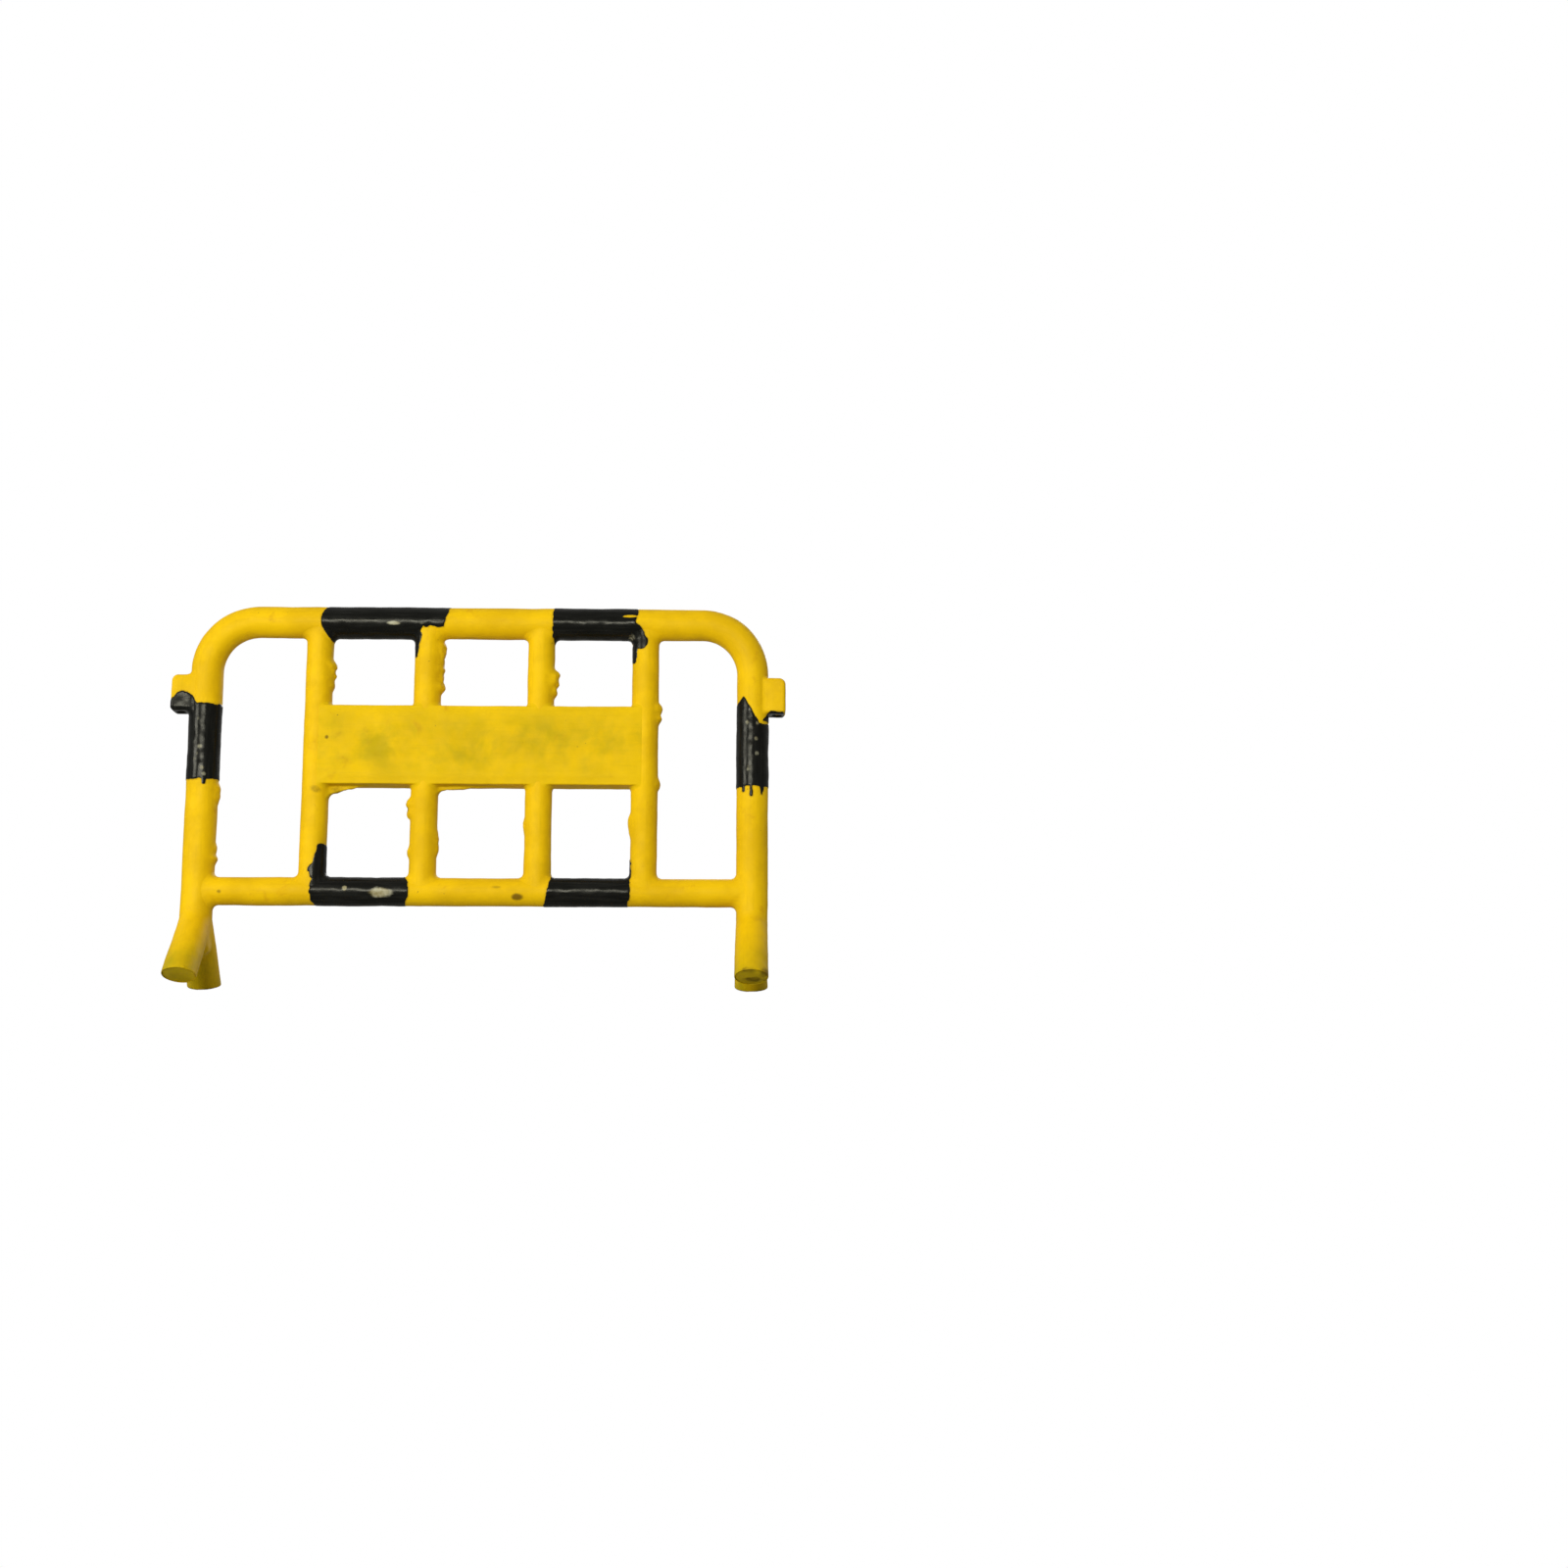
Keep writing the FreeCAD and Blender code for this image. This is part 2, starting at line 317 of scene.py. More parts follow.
def welded(members, x, y, z):
    """Skin of members welded on in turn, before and after the last of them.

    Weld and paint fill only where two skins turn away from each other, so
    flush crests stay flush and square corners get their full fillet.
    """
    whole, *facing = members[0][0](x, y, z)
    before = whole
    for skin, reach in members[1:]:
        before = whole
        new, *turned = skin(x, y, z)
        alike = sum(a * b for a, b in zip(facing, turned))
        reach = reach(x, y, z) if callable(reach) else reach
        whole = soft_join(before, new, reach * np.clip(1.5 * (1.0 - alike), 0.02, 1.0))
        facing = [np.where(new < before, b, a) for a, b in zip(facing, turned)]
    return before, whole


def make_piece(piece, member, onto, low, high, step, way, nodes, material):
    """Draws one member with its own weld, as a closed skin, on the barrier's body.

    The piece is all that this member adds to what it is welded onto, and it
    runs on a few millimetres under their skins, as a coped tube end does.
    """
    members = onto + [member]
    low = np.array(low, float) - 3.5 * step
    count = np.ceil((np.array(high, float) + 3.5 * step - low) / step).astype(int) + 1
    values = np.full(count, 1e3)
    half = BLOCK * step * 0.9 + 8.0
    for i in range(0, count[0], BLOCK):
        for j in range(0, count[1], BLOCK):
            for k in range(0, count[2], BLOCK):
                centre = low + step * (np.array([i, j, k]) + BLOCK / 2)
                gap = member[0](*centre)[0]
                if gap > half + 12.0:
                    continue
                if not onto and gap < -half:
                    values[i:i + BLOCK, j:j + BLOCK, k:k + BLOCK] = -1e3
                    continue
                corner = np.array([i, j, k])
                stop = np.minimum(corner + BLOCK, count)
                axes = [low[a] + step * np.arange(corner[a], stop[a]) for a in range(3)]
                x, y, z = np.meshgrid(*axes, indexing="ij")
                before, whole = welded(members, x, y, z)
                if onto:
                    added = np.maximum(-before - COPE, 4.0 * (whole - before + 0.12))
                    whole = np.maximum(whole, added)
                values[i:i + BLOCK, j:j + BLOCK, k:k + BLOCK] = whole
    for axis in range(3):
        for end in (0, -1):
            edge = [slice(None)] * 3
            edge[axis] = end
            values[tuple(edge)] = 1e3
    verts, quads = draw_skin(values, low, step)
    before, here = welded(members, *verts.T)
    outer = np.abs(here) < 0.55 * step
    if onto:
        outer &= before > -0.55 * step
    for _ in range(2):
        slope = np.zeros_like(verts)
        here = welded(members, *verts.T)[1]
        for axis in range(3):
            ahead = verts.copy()
            ahead[:, axis] += 0.3
            slope[:, axis] = welded(members, *ahead.T)[1] - here
        normals = slope / np.maximum(np.linalg.norm(slope, axis=1), 1e-9)[:, None]
        verts = verts - normals * (np.clip(here, -step, step) * outer)[:, None]
    x, y, z = verts.T
    black = black_cover(x, y, z)
    coat = PAINT_THICK * np.clip(black / 2.5 + 0.3, 0.0, 1.0) * (1.0 + 0.4 * mottle(x, y, z, 15.0, 41))
    wave = 0.7 * mottle(x, y, z, 62.0, 3) + 0.32 * mottle(x, y, z, 18.0, 4)
    if onto:
        before, here = welded(members, x, y, z)
        wave = wave - 0.4 * np.clip(1.2 - (before - here) / 0.5, 0.0, 1.0)
    verts = verts + normals * ((wave + coat) * outer)[:, None]
    corners = verts[quads]
    facets = np.cross(corners[:, 2] - corners[:, 0], corners[:, 3] - corners[:, 1])
    on_skin = outer[quads].all(1)
    shading = np.zeros_like(verts)
    for facets_used in (on_skin, ~on_skin):
        total = np.zeros_like(verts)
        for axis in range(3):
            for corner in range(4):
                ends = quads[facets_used, corner]
                total[:, axis] += np.bincount(ends, facets[facets_used, axis], len(verts))
        empty = np.abs(shading).sum(1) == 0.0
        shading[empty] = total[empty]
    shading /= np.maximum(np.linalg.norm(shading, axis=1), 1e-12)[:, None]
    verts[:, 2] = np.maximum(verts[:, 2], 0.0)
    mesh = bpy.data.meshes.new(piece)
    mesh.vertices.add(len(verts))
    mesh.vertices.foreach_set("co", (verts / MM).astype(np.float32).ravel())
    mesh.loops.add(quads.size)
    mesh.loops.foreach_set("vertex_index", quads.astype(np.int32).ravel())
    mesh.polygons.add(len(quads))
    mesh.polygons.foreach_set("loop_start", np.arange(0, quads.size, 4, dtype=np.int32))
    mesh.update(calc_edges=True)
    mesh.validate()
    mesh.polygons.foreach_set("use_smooth", np.ones(len(mesh.polygons), bool))
    mesh.normals_split_custom_set_from_vertices(shading.tolist())
    marks = np.stack([marks_at(scuffs, x, y, z), marks_at(stains, x, y, z), 0.0 * x], 1)
    brush = np.stack([np.broadcast_to(w, x.shape) for w in way(x, y, z)], 1) / MM
    for name, kind, field, numbers in (("black_cover", "FLOAT", "value", black),
                                       ("wear_marks", "FLOAT_VECTOR", "vector", marks),
                                       ("brush_way", "FLOAT_VECTOR", "vector", brush)):
        attribute = mesh.attributes.new(name, kind, "POINT")
        attribute.data.foreach_set(field, numbers.astype(np.float32).ravel())
    mesh.materials.append(material)
    obj = bpy.data.objects.new(piece, mesh)
    bpy.context.scene.collection.objects.link(obj)
    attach(obj, "root")
    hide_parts(*nodes)
    return obj


def enamel(name, yellow, worn, roughness, grime):
    """Thick brushed enamel: yellow, and black wherever black_cover is above zero."""
    material = bpy.data.materials.new(name)
    material.use_nodes = True
    tree = material.node_tree
    tree.nodes.clear()

    def node(kind, **settings):
        made = tree.nodes.new(kind)
        for key, value in settings.items():
            setattr(made, key, value)
        return made

    def noise(vector, scale, detail, rough, distort=0.0):
        made = node("ShaderNodeTexNoise")
        made.inputs["Scale"].default_value = scale
        made.inputs["Detail"].default_value = detail
        made.inputs["Roughness"].default_value = rough
        made.inputs["Distortion"].default_value = distort
        tree.links.new(vector, made.inputs["Vector"])
        return made.outputs["Fac"]

    def fade(value, low, high, start=0.0, end=1.0):
        made = node("ShaderNodeMapRange", interpolation_type="SMOOTHSTEP")
        tree.links.new(value, made.inputs["Value"])
        for key, number in (("From Min", low), ("From Max", high), ("To Min", start), ("To Max", end)):
            made.inputs[key].default_value = number
        return made.outputs["Result"]

    def maths(operation, a, b):
        made = node("ShaderNodeMath", operation=operation)
        for k, value in enumerate((a, b)):
            if isinstance(value, float):
                made.inputs[k].default_value = value
            else:
                tree.links.new(value, made.inputs[k])
        return made.outputs[0]

    def mix(factor, a, b):
        made = node("ShaderNodeMix", data_type="RGBA")
        tree.links.new(factor, made.inputs["Factor"])
        for value, target in ((a, made.inputs["A"]), (b, made.inputs["B"])):
            if isinstance(value, tuple):
                target.default_value = value + (1.0,)
            else:
                tree.links.new(value, target)
        return made.outputs["Result"]

    place = node("ShaderNodeTexCoord").outputs["Object"]
    way = node("ShaderNodeAttribute", attribute_name="brush_way").outputs["Vector"]
    stretch = node("ShaderNodeMapping")
    stretch.inputs["Scale"].default_value = (10.0, 130.0, 130.0)
    tree.links.new(way, stretch.inputs["Vector"])
    strokes = noise(stretch.outputs["Vector"], 1.0, 3.0, 0.55)
    broad = noise(place, 9.0, 4.0, 0.6)
    patches = noise(place, 27.0, 4.0, 0.62)
    lumps = noise(place, 65.0, 2.0, 0.5)
    fine = noise(place, 260.0, 3.0, 0.6)

    cover = node("ShaderNodeAttribute", attribute_name="black_cover").outputs["Fac"]
    edge = maths("ADD", cover, maths("MULTIPLY", maths("SUBTRACT", lumps, 0.5), 3.0))
    black = fade(edge, -0.4, 0.4)
    marks = node("ShaderNodeSeparateXYZ")
    wear = node("ShaderNodeAttribute", attribute_name="wear_marks").outputs["Vector"]
    tree.links.new(wear, marks.inputs[0])
    scuff, stain = marks.outputs[0], marks.outputs[1]

    base = mix(fade(broad, 0.36, 0.66), yellow, worn)
    base = mix(fade(strokes, 0.50, 0.80, 0.0, 0.22), base, tuple(c * 0.74 for c in worn))
    rusty = fade(noise(place, 16.0, 5.0, 0.65, 0.4), 0.60, 0.78, 0.0, 0.45)
    base = mix(rusty, base, (0.52, 0.22, 0.004))
    shadow_line = fade(edge, -4.5, -0.3, 0.0, 0.35)
    base = mix(shadow_line, base, (0.16, 0.10, 0.004))
    if grime:
        split = node("ShaderNodeSeparateXYZ")
        tree.links.new(place, split.inputs[0])
        off_middle = maths("ABSOLUTE", maths("SUBTRACT", split.outputs[2], grime[0]), 0.0)
        band = fade(off_middle, grime[1], grime[2], 1.0, 0.0)
        clouds = maths("MULTIPLY", fade(noise(place, 8.0, 4.0, 0.58, 0.2), 0.40, 0.68, grime[4]), band)
        base = mix(maths("MULTIPLY", clouds, grime[3]), base, (0.28, 0.25, 0.001))
    pits = fade(noise(place, 95.0, 2.0, 0.5), 0.75, 0.82, 0.0, 0.7)
    base = mix(pits, base, (0.13, 0.06, 0.008))
    stain = maths("ADD", stain, maths("MULTIPLY", maths("SUBTRACT", patches, 0.5), 1.3))
    stain = maths("MULTIPLY", fade(stain, 0.2, 0.95), fade(marks.outputs[1], 0.0, 0.25))
    base = mix(maths("MULTIPLY", stain, 0.8), base, (0.085, 0.038, 0.003))
    soot = mix(fade(strokes, 0.40, 0.75), (0.0040, 0.0042, 0.0038), (0.0105, 0.0108, 0.0095))
    scrape = maths("ADD", scuff, maths("MULTIPLY", maths("SUBTRACT", patches, 0.5), 1.2))
    scrape = maths("ADD", scrape, maths("MULTIPLY", maths("SUBTRACT", strokes, 0.5), 0.8))
    scrape = maths("MULTIPLY", fade(scrape, 0.25, 0.95, 0.0, 0.85), fade(scuff, 0.05, 0.30))
    primer = mix(fade(patches, 0.38, 0.62), (0.29, 0.24, 0.10), (0.52, 0.50, 0.34))
    soot = mix(scrape, soot, primer)
    colour = mix(black, base, soot)

    gloss = node("ShaderNodeMix", data_type="FLOAT")
    tree.links.new(black, gloss.inputs["Factor"])
    tree.links.new(fade(patches, 0.3, 0.8, roughness - 0.06, roughness + 0.14), gloss.inputs["A"])
    tree.links.new(fade(patches, 0.3, 0.8, 0.17, 0.34), gloss.inputs["B"])

    height = maths("ADD", maths("MULTIPLY", strokes, 0.5), maths("MULTIPLY", fine, 0.12))
    height = maths("ADD", height, maths("MULTIPLY", lumps, 0.5))
    height = maths("SUBTRACT", height, maths("MULTIPLY", pits, 0.4))
    bump = node("ShaderNodeBump")
    bump.inputs["Strength"].default_value = 0.5
    bump.inputs["Distance"].default_value = 0.0012
    tree.links.new(height, bump.inputs["Height"])
    shader = node("ShaderNodeBsdfPrincipled")
    tree.links.new(colour, shader.inputs["Base Color"])
    tree.links.new(gloss.outputs["Result"], shader.inputs["Roughness"])
    tree.links.new(bump.outputs["Normal"], shader.inputs["Normal"])
    shader.inputs["Specular IOR Level"].default_value = 0.13
    shader.inputs["Specular Tint"].default_value = (1.0, 0.97, 0.78, 1.0)
    tree.links.new(shader.outputs["BSDF"], node("ShaderNodeOutputMaterial").inputs["Surface"])
    return material


YELLOW = (0.83, 0.515, 0.0005)
YELLOW_WORN = (0.72, 0.435, 0.0005)
frame_enamel = enamel("brushed_frame_enamel", YELLOW, YELLOW_WORN, 0.58, None)
hoop = (hoop_skin, 0.0)
TUBE_STEP = 2.8
half_y = HOOP_R + 3.0
make_piece("bent_hoop", hoop, [], (-POST_X - HOOP_R, -half_y, KNEE_Z - HOOP_R),
           (POST_X + HOOP_R, half_y, TOP_Z + HOOP_R), TUBE_STEP, hoop_way,
           ["hoop_tube"], frame_enamel)

# ---------------------------------------------------------------------------
# The bottom rail: a straight tube with its ends coped to the posts and welded
# all round. Its two black bands lick up the first and the fourth upright.
# ---------------------------------------------------------------------------
rail_low, rail_high = node_box("bottom_rail")
RAIL_Z = (rail_low[2] + rail_high[2]) / 2
RAIL_R = (rail_high[2] - rail_low[2]) / 2
TUBE_WELD = 17.0

LOW_LEFT_BAND = (-422.0, -168.0)
LOW_RIGHT_BAND = (186.0, 400.0)


def rail_bands(x, z):
    """Two bands on the bottom rail, the left one bowed at both ends, the right one slanting."""
    off_axis = z - RAIL_Z
    left_start, left_end = LOW_LEFT_BAND
    left = np.minimum(x - left_start - 0.008 * off_axis ** 2, left_end - 0.010 * off_axis ** 2 - x)
    right_start, right_end = LOW_RIGHT_BAND
    right = np.minimum(x - right_start - 0.25 * off_axis, right_end - 0.006 * off_axis ** 2 - x)
    return np.minimum(np.maximum(left, right), RAIL_R + 10.0 - np.abs(z - RAIL_Z))


black_bands.append(rail_bands)
black_licks += [
    ((-400, 290), (-394, 356), 22, 12), ((-420, 300), (-412, 312), 8, 5), ((394, 285), (396, 330), 7, 4),
]
scuffs += [(-240, 240, 26, 11, 1.0), (-330, 250, 6, 6, 1.0)]
stains += [(110, 230, 15, 8, 1.0), (55, 255, 13, 4, 0.5), (-650, 240, 6, 5, 0.8)]


def rail_skin(x, y, z):
    dx, dz = x - np.clip(x, -POST_X, POST_X), z - RAIL_Z
    size = length(dx, y, dz) + 1e-6
    return size - RAIL_R, dx / size, y / size, dz / size


def rail_way(x, y, z):
    return x, y, z - RAIL_Z


rail = (rail_skin, TUBE_WELD)
make_piece("lower_rail", rail, [hoop], (-POST_X - 8.0, -half_y, RAIL_Z - 66.0),
           (POST_X + 8.0, half_y, RAIL_Z + 66.0), TUBE_STEP, rail_way,
           ["bottom_rail", "weld_rail_left", "weld_rail_right"], frame_enamel)

# ---------------------------------------------------------------------------
# Four uprights: tubes coped between the rails and welded top and bottom. The
# yellow has run down their flanks and set there in lumps.
# ---------------------------------------------------------------------------
# Runs of drips on the left and right flank of each: top, bottom, how proud.
upright_runs = {
    1: ([], [(840, 790, 12)]),
    2: ([(475, 450, 13), (350, 345, 6)], [(895, 785, 13), (390, 355, 5)]),
    3: ([(420, 415, 3)], [(820, 775, 16)]),
    4: ([(435, 405, 7)], [(730, 705, 11), (535, 530, 7)]),
}
stains += [
    (-415, 510, 15, 10, 0.55), (-380, 800, 7, 9, 0.4), (-180, 460, 6, 8, 0.6), (200, 780, 7, 8, 0.35),
]


def upright_member(number):
    low, high = node_box("upright_%d" % number)
    centre = (low[0] + high[0]) / 2
    radius = (high[0] - low[0]) / 2
    left, right = (drip_lumps(runs) for runs in upright_runs[number])

    def skin(x, y, z):
        dx, dz = x - centre, z - np.clip(z, RAIL_Z, TOP_Z)
        size = length(dx, y, dz) + 1e-6
        gap = add_drips(size - radius, left, (centre - radius, -1), x, y, z)
        return add_drips(gap, right, (centre + radius, 1), x, y, z), dx / size, y / size, dz / size

    def way(x, y, z):
        return z, y, x - centre

    return skin, way, centre


uprights = []
for number in range(1, 5):
    upright_skin, upright_way, centre = upright_member(number)
    uprights.append((upright_skin, TUBE_WELD))
    make_piece("upright_tube_%d" % number, uprights[-1], [hoop, rail],
               (centre - 68.0, -half_y, RAIL_Z - 40.0), (centre + 68.0, half_y, TOP_Z + 45.0),
               TUBE_STEP, upright_way,
               ["upright_%d" % number, "weld_upright_%d_top" % number, "weld_upright_%d_bottom" % number],
               frame_enamel)

# ---------------------------------------------------------------------------
# The sign panel: two steel sheets over the uprights, closed above and below
# by strips, its edges dressed flush. Paint hangs in webs from its underside.
# ---------------------------------------------------------------------------
front_low, front_high = node_box("panel_front_sheet")
rear_low, rear_high = node_box("panel_rear_sheet")
PANEL_MID = (front_low + rear_high) / 2
PANEL_HALF = (rear_high - front_low) / 2
PANEL_EDGE_R = 3.0
PANEL_DRESS = 26.0
PANEL_DRESS_DEPTH = 3.6
WEB_HALF_THICK = 7.0
PANEL_LOW = front_low[2]
# Webs of set paint hanging below it: where each starts and ends, and how deep.
panel_webs = [(-390.0, -268.0, 26.0), (-108.0, 104.0, 13.0)]
stains += [(-390, 645, 5, 5, 0.9), (-360, 510, 26, 10, 0.45)]


def panel_skin(x, y, z):
    to_end, to_brim = PANEL_HALF[0] - np.abs(x - PANEL_MID[0]), PANEL_HALF[2] - np.abs(z - PANEL_MID[2])
    to_edge = np.minimum(0.55 * to_end, to_brim)
    rise = np.clip(to_edge / PANEL_DRESS, 0.0, 1.0)
    thick = PANEL_HALF[1] - PANEL_DRESS_DEPTH * (1.0 - rise * rise * (3.0 - 2.0 * rise))
    offset = (x - PANEL_MID[0], y - PANEL_MID[1], z - PANEL_MID[2])
    halves = (PANEL_HALF[0], thick, PANEL_HALF[2])
    over = [np.abs(o) - half + PANEL_EDGE_R for o, half in zip(offset, halves)]
    most = np.maximum(np.maximum(over[0], over[1]), over[2])
    outside = length(*(np.maximum(o, 0.0) for o in over))
    gap = outside + np.minimum(most, 0.0) - PANEL_EDGE_R
    facing = []
    for o, f in zip(over, offset):
        part = np.where(outside > 0.0, np.maximum(o, 0.0) / (outside + 1e-6), o >= most)
        facing.append(part * np.where(f < 0.0, -1.0, 1.0))
    if np.min(z) < PANEL_LOW + 20.0:
        for start, end, depth in panel_webs:
            hem = depth * (1.0 - np.clip((x - start) / (end - start), 0.0, 1.0)) ** 1.5
            hanging = np.maximum(PANEL_LOW - hem - z, z - PANEL_LOW - 8.0)
            slab = np.maximum(np.abs(y + 2.0) - WEB_HALF_THICK, hanging)
            slab = np.maximum(slab, np.maximum(start - x, x - end)) + 1.6 * mottle(x, y, z, 13.0, 32)
            gap = soft_join(gap, slab, 5.0)
    return (gap, *facing)


def panel_weld(x, y, z):
    """Welds fill the window corners, and are ground away where they would stand on the faces."""
    return 16.0 * np.clip(1.15 - (np.abs(y) / 36.0) ** 4, 0.12, 1.0)


def panel_way(x, y, z):
    return x, z, y


panel_enamel = enamel("grimy_panel_enamel", (0.79, 0.505, 0.0005), (0.70, 0.45, 0.001), 0.64,
                      (PANEL_MID[2] / MM, 0.02, 0.11, 0.50, 0.0))
panel_nodes = ["panel_front_sheet", "panel_rear_sheet"]
panel_nodes += ["panel_%s_strip_%d" % (edge, bay) for edge in ("lower", "upper") for bay in (1, 2, 3)]
make_piece("sign_panel", (panel_skin, panel_weld), uprights, PANEL_MID - PANEL_HALF - (24.0, 6.0, 40.0),
           PANEL_MID + PANEL_HALF + (24.0, 6.0, 24.0), TUBE_STEP, panel_way,
           panel_nodes, panel_enamel)

# ---------------------------------------------------------------------------
# Four legs, two under each post: tube pressed wider towards the ground, cut
# on the slant, with a flat worn on the heel. They are welded at the knee.
# ---------------------------------------------------------------------------
FOOT_Y = 133.0
FOOT_Z = 15.5
FOOT_R = 43.0
FOOT_TILT = math.radians(20.0)
LEG_WALL = 3.2
LEG_SOCKET = 10.0
LEG_WELD = 30.0
LEG_CROTCH_WELD = 90.0
# How far the front feet were pulled sideways when they were bent.
FOOT_LEAN = {(-1, -1): -6.0, (1, -1): -2.0}
LEG_LENGTH = math.hypot(FOOT_Y, KNEE_Z - FOOT_Z)
LEG_RUN = FOOT_Y / LEG_LENGTH
LEG_DROP = (KNEE_Z - FOOT_Z) / LEG_LENGTH


def leg_frame(side_x, side_y, x, y, z):
    """Beside the leg's axis, down it from the knee, above it, and past its cut end."""
    along = side_y * y * LEG_RUN + (KNEE_Z - z) * LEG_DROP
    lean = FOOT_LEAN.get((side_x, side_y), 0.0)
    dx = x - side_x * POST_X - lean * np.clip(along / LEG_LENGTH, 0.0, 1.2)
    across = side_y * y * LEG_DROP - (KNEE_Z - z) * LEG_RUN
    past = (side_y * y - FOOT_Y) * math.sin(FOOT_TILT) - (z - FOOT_Z) * math.cos(FOOT_TILT)
    return dx, along, across, past


def leg_radius(along):
    return HOOP_R + (FOOT_R - HOOP_R) * np.clip(along / LEG_LENGTH, 0.0, 1.15)


def leg_member(side_x, side_y):
    def skin(x, y, z):
        dx, along, across, past = leg_frame(side_x, side_y, x, y, z)
        radius = leg_radius(along)
        back = np.minimum(along, 0.0)
        size = length(dx, across, back) + 1e-6
        gap = soft_cut(size - radius, past, 3.0)
        socket = np.maximum(length(dx, across) - (radius - LEG_WALL), -LEG_SOCKET - past)
        gap = soft_cut(soft_cut(gap, -socket, 1.2), -z, 1.0)
        out_y, out_z = across * LEG_DROP + back * LEG_RUN, across * LEG_RUN - back * LEG_DROP
        return gap, dx / size, side_y * out_y / size, out_z / size

    def way(x, y, z):
        dx, along, across, past = leg_frame(side_x, side_y, x, y, z)
        return along, dx, across

    return skin, way


def crotch_weld(x, y, z):
    """Weld builds up between two legs, below the knee only."""
    below = np.clip((KNEE_Z - 40.0 - z) / 40.0, 0.0, 1.0)
    between = np.clip((42.0 - np.abs(y)) / 30.0, 0.0, 1.0)
    return LEG_WELD + (LEG_CROTCH_WELD - LEG_WELD) * below * between


leg_enamel = enamel("muddy_leg_enamel", YELLOW, YELLOW_WORN, 0.55, (0.0, 0.02, 0.15, 0.80, 0.40))
# Painted light: the cap's yellow is paler than the frame's so the cap ends, which face down and away from the
# lamps, show lit; the darker band at the ground is mud.
lit_cap_enamel = enamel("muddy_lit_cap_enamel", (0.88, 0.63, 0.006), (0.74, 0.54, 0.012), 0.62,
                    (0.0, 0.0, 0.05, 0.35, 0.2))
LEG_BESIDE = 50.0
LEG_STEP = 2.0
CAP_RECESS = 1.8
CAP_THICK = 8.0
stains += [(700, 30, 20, 8, 0.5), (745, 24, 12, 16, 0.6), (716, 12, 26, 5, 0.7), (-760, 14, 10, 8, 0.5)]
for x_word, side_x in (("left", -1), ("right", 1)):
    front_skin, front_way = leg_member(side_x, -1)
    rear_skin, rear_way = leg_member(side_x, 1)
    front_leg, rear_leg = (front_skin, LEG_WELD), (rear_skin, crotch_weld)
    for y_word, side_y, member, onto, way in (("front", -1, front_leg, [hoop], front_way),
                                              ("rear", 1, rear_leg, [hoop, front_leg], rear_way)):
        near, far = sorted((side_y * -48.0, side_y * 182.0))
        make_piece("leg_tube_%s_%s" % (x_word, y_word), member, onto,
                   (side_x * POST_X - LEG_BESIDE, near, -1.0), (side_x * POST_X + LEG_BESIDE, far, 225.0),
                   LEG_STEP, way, ["leg_%s_%s" % (x_word, y_word)], leg_enamel)

        # The cap: a steel disc let a little way into the leg's end and painted over.
        def cap_skin(x, y, z, side_x=side_x, side_y=side_y):
            dx, along, across, past = leg_frame(side_x, side_y, x, y, z)
            disc = length(dx, across) - (leg_radius(along) - LEG_WALL + 0.4)
            return (soft_cut(soft_cut(disc, past + CAP_RECESS, 1.5), -past - CAP_THICK, 1.0),)

        near, far = sorted((side_y * 80.0, side_y * 182.0))
        make_piece("cap_disc_%s_%s" % (x_word, y_word), (cap_skin, 0.0), [],
                   (side_x * POST_X - LEG_BESIDE, near, -4.0), (side_x * POST_X + LEG_BESIDE, far, 75.0),
                   LEG_STEP, way, ["leg_cap_%s_%s" % (x_word, y_word)], lit_cap_enamel)

# ---------------------------------------------------------------------------
# Two coupling lugs: forged blocks welded to the posts' outer flanks, each with
# a hole for the pin that joins one barrier to the next.
# ---------------------------------------------------------------------------
lug_low, lug_high = node_box("coupling_lug_right")
LUG_OUT = lug_high[0] - POST_X
LUG_MID_Z = (lug_low[2] + lug_high[2]) / 2
LUG_HALF_Z = (lug_high[2] - lug_low[2]) / 2
LUG_HALF_Y = (lug_high[1] - lug_low[1]) / 2
LUG_TOP_R = 17.0
LUG_LOW_R = 10.0
LUG_EDGE_R = 9.0
LUG_STEP = 2.0
PIN_HOLE_R = 13.0
PIN_HOLE_OUT = HOOP_R + 22.0


def lug_member(side):
    def skin(x, y, z):
        out = side * x - POST_X
        corner = np.where(z > LUG_MID_Z, LUG_TOP_R, LUG_LOW_R)
        u, w = out - LUG_OUT / 2, z - LUG_MID_Z
        qu, qw = np.abs(u) - LUG_OUT / 2 + corner, np.abs(w) - LUG_HALF_Z + corner
        rim = length(np.maximum(qu, 0.0), np.maximum(qw, 0.0)) + 1e-6
        face = rim + np.minimum(np.maximum(qu, qw), 0.0) - corner + LUG_EDGE_R
        depth = np.abs(y) - LUG_HALF_Y + LUG_EDGE_R
        round_it = length(np.maximum(face, 0.0), np.maximum(depth, 0.0)) + 1e-6
        gap = round_it + np.minimum(np.maximum(face, depth), 0.0) - LUG_EDGE_R
        gap = soft_cut(gap, PIN_HOLE_R - length(out - PIN_HOLE_OUT, y), 3.0)
        in_face = np.maximum(face, 0.0) / round_it / rim
        out_x = np.maximum(qu, 0.0) * np.sign(u) * in_face
        out_z = np.maximum(qw, 0.0) * np.sign(w) * in_face
        return gap, side * out_x, np.maximum(depth, 0.0) * np.sign(y) / round_it, out_z

    def way(x, y, z):
        return z, y, x - side * POST_X

    return skin, way


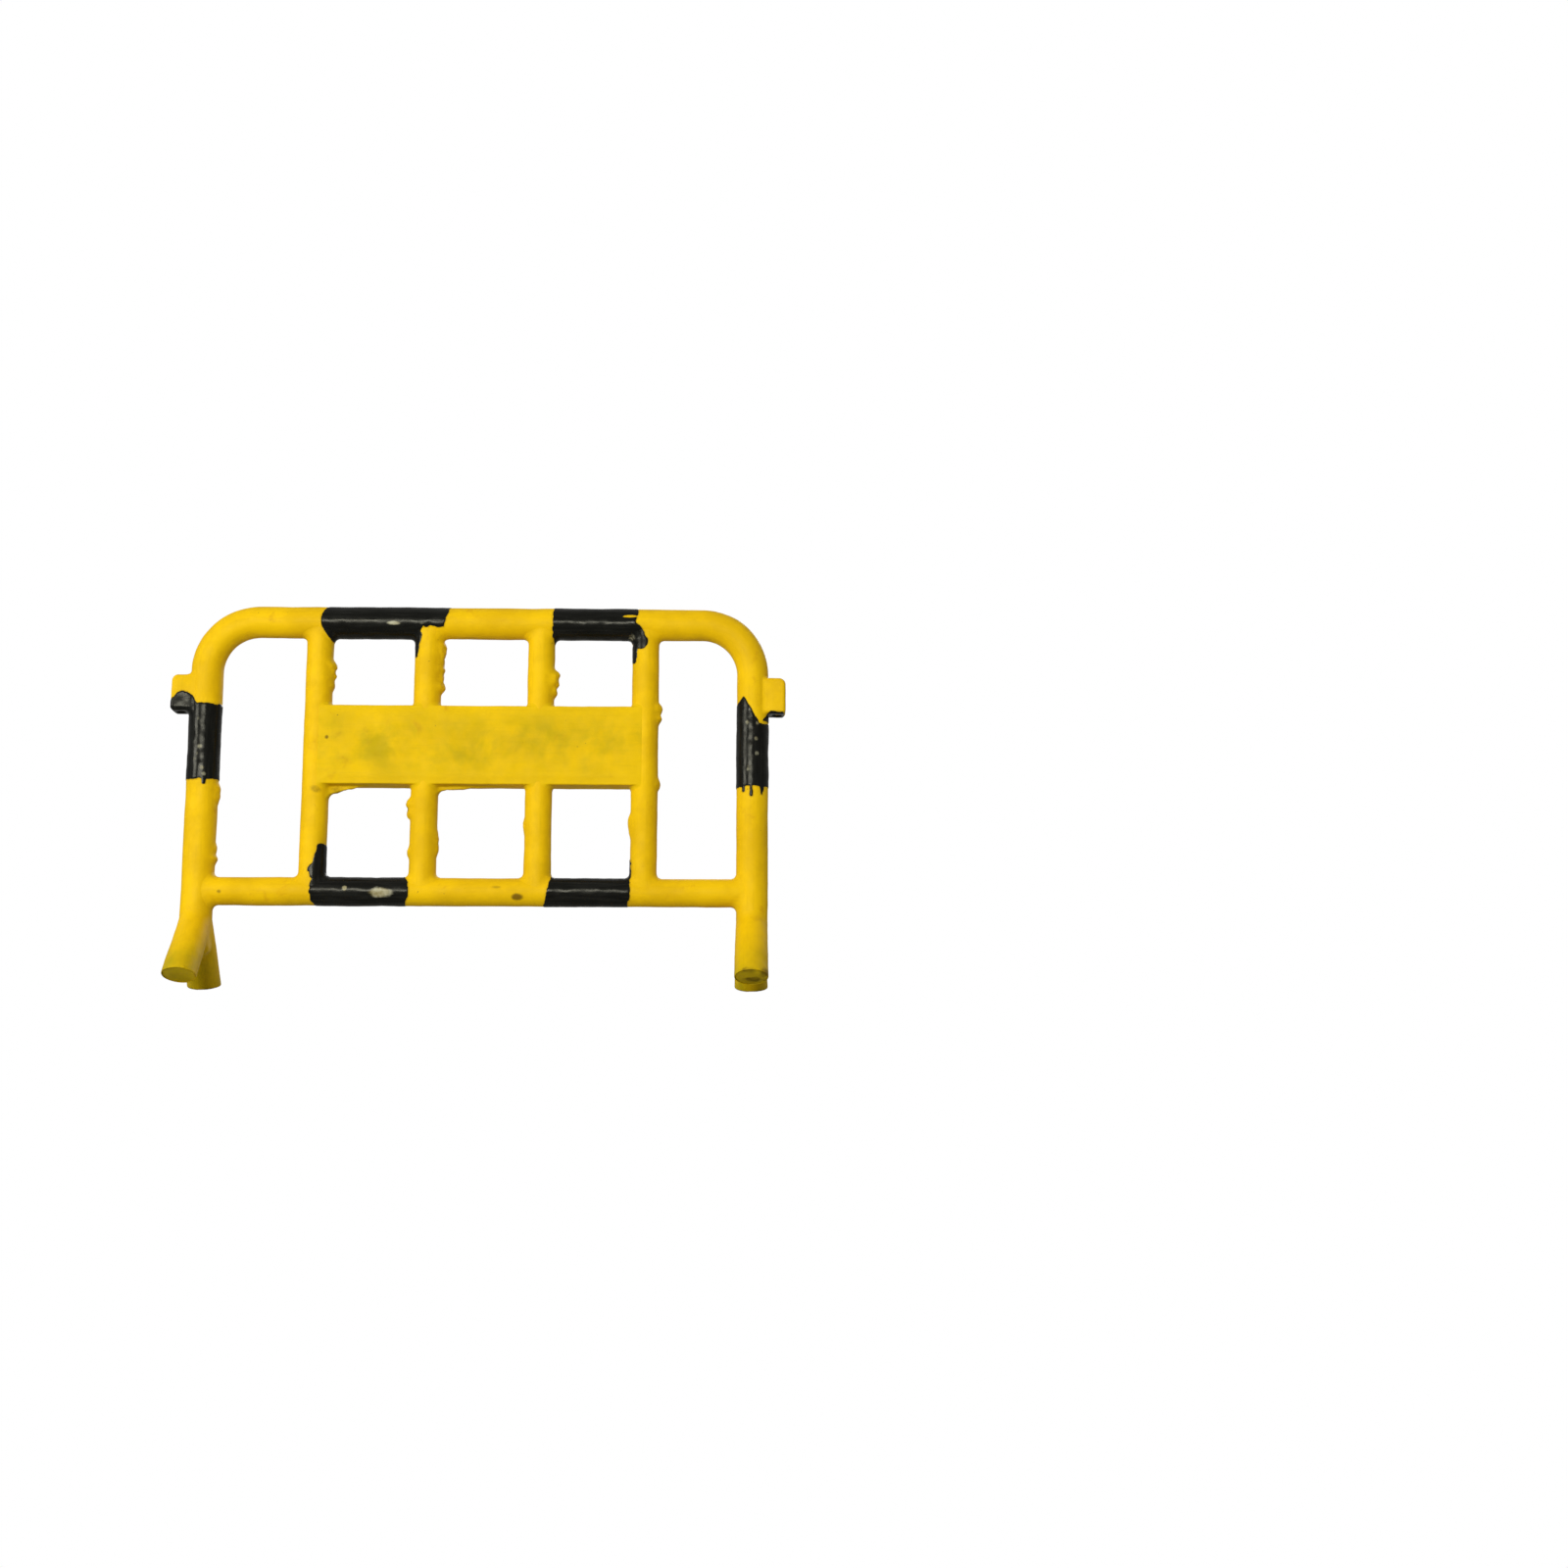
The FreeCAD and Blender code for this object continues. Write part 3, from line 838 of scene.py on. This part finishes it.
for x_word, side, weld in (("left", -1, 16.0), ("right", 1, 8.0)):
    lug_skin, lug_way = lug_member(side)
    near, far = sorted((side * (POST_X - 6.0), side * (POST_X + LUG_OUT)))
    make_piece("lug_block_%s" % x_word, (lug_skin, weld), [hoop],
               (near, -LUG_HALF_Y - 4.0, lug_low[2] - 16.0), (far, LUG_HALF_Y + 4.0, lug_high[2] + 16.0),
               LUG_STEP, lug_way, ["coupling_lug_%s" % x_word], frame_enamel)

# ---------------------------------------------------------------------------
# Studio: a pale floor that shows only from above, wide soft lights in front
# and to the left, and the camera.
# ---------------------------------------------------------------------------
scene = bpy.context.scene
camera_data = bpy.data.cameras.new("camera")
camera_data.sensor_width = 36.0
camera_data.lens = 53.19
camera_data.clip_end = 100.0
camera = bpy.data.objects.new("camera", camera_data)
view = Vector((0.0233, 0.9826, 0.1842)).normalized()
right = Vector((0.99973, -0.02391, 0.0011))
right = (right - view * right.dot(view)).normalized()
above = right.cross(view)
turned = Matrix((right, above, -view)).transposed().to_4x4()
camera.matrix_world = Matrix.Translation((0.655, -5.940, -0.579)) @ turned
scene.collection.objects.link(camera)
scene.camera = camera

world = bpy.data.worlds.new("studio")
world.use_nodes = True
sky = world.node_tree
sky.nodes.clear()


def sky_node(kind):
    return sky.nodes.new(kind)


direction = sky_node("ShaderNodeTexCoord")
split = sky_node("ShaderNodeSeparateXYZ")
sky.links.new(direction.outputs["Generated"], split.inputs[0])
rise = sky_node("ShaderNodeMapRange")
rise.inputs["From Min"].default_value = -0.5
rise.inputs["From Max"].default_value = 0.6
rise.inputs["To Min"].default_value = 0.17
rise.inputs["To Max"].default_value = 0.46
sky.links.new(split.outputs[2], rise.inputs["Value"])
soft = sky_node("ShaderNodeBackground")
soft.inputs["Color"].default_value = (1.0, 0.985, 0.95, 1.0)
sky.links.new(rise.outputs["Result"], soft.inputs["Strength"])
white = sky_node("ShaderNodeBackground")
white.inputs["Color"].default_value = (1.0, 1.0, 1.0, 1.0)
choose = sky_node("ShaderNodeMixShader")
sky.links.new(sky_node("ShaderNodeLightPath").outputs["Is Camera Ray"], choose.inputs["Fac"])
sky.links.new(soft.outputs["Background"], choose.inputs[1])
sky.links.new(white.outputs["Background"], choose.inputs[2])
sky.links.new(choose.outputs["Shader"], sky_node("ShaderNodeOutputWorld").inputs["Surface"])
scene.world = world

for name, place, wide, tall, power in (
    ("front_softbox", (-1.6, -8.5, 1.6), 4.2, 1.5, 450.0),
    ("left_softbox", (-6.5, -5.0, 2.2), 3.0, 1.5, 215.0),
    ("rear_softbox", (2.0, 6.0, 4.0), 3.0, 3.0, 160.0),
):
    lamp = bpy.data.lights.new(name, "AREA")
    lamp.shape = "RECTANGLE"
    lamp.size = wide
    lamp.size_y = tall
    lamp.energy = power
    lamp_object = bpy.data.objects.new(name, lamp)
    lamp_object.location = place
    aim = Vector((0.0, 0.0, 0.5)) - Vector(place)
    lamp_object.rotation_euler = aim.to_track_quat("-Z", "Y").to_euler()
    scene.collection.objects.link(lamp_object)

FLOOR = 12.0
floor_mesh = bpy.data.meshes.new("floor")
floor_mesh.from_pydata([(-FLOOR, -FLOOR, 0), (FLOOR, -FLOOR, 0), (FLOOR, FLOOR, 0), (-FLOOR, FLOOR, 0)],
                       [], [(0, 1, 2, 3)])
floor = bpy.data.objects.new("floor", floor_mesh)
scene.collection.objects.link(floor)
floor_material = bpy.data.materials.new("pale_floor")
floor_material.use_nodes = True
floor_tree = floor_material.node_tree
floor_tree.nodes.clear()
seen = floor_tree.nodes.new("ShaderNodeLightPath")
shade = floor_tree.nodes.new("ShaderNodeMix")
shade.data_type = "RGBA"
shade.inputs["A"].default_value = (0.46, 0.46, 0.44, 1.0)
shade.inputs["B"].default_value = (0.80, 0.80, 0.79, 1.0)
floor_tree.links.new(seen.outputs["Is Camera Ray"], shade.inputs["Factor"])
pale = floor_tree.nodes.new("ShaderNodeBsdfDiffuse")
floor_tree.links.new(shade.outputs["Result"], pale.inputs["Color"])
clear = floor_tree.nodes.new("ShaderNodeBsdfTransparent")
facing = floor_tree.nodes.new("ShaderNodeNewGeometry")
either = floor_tree.nodes.new("ShaderNodeMixShader")
floor_tree.links.new(facing.outputs["Backfacing"], either.inputs["Fac"])
floor_tree.links.new(pale.outputs["BSDF"], either.inputs[1])
floor_tree.links.new(clear.outputs["BSDF"], either.inputs[2])
floor_surface = floor_tree.nodes.new("ShaderNodeOutputMaterial").inputs["Surface"]
floor_tree.links.new(either.outputs["Shader"], floor_surface)
floor_mesh.materials.append(floor_material)

scene.view_settings.view_transform = "Standard"
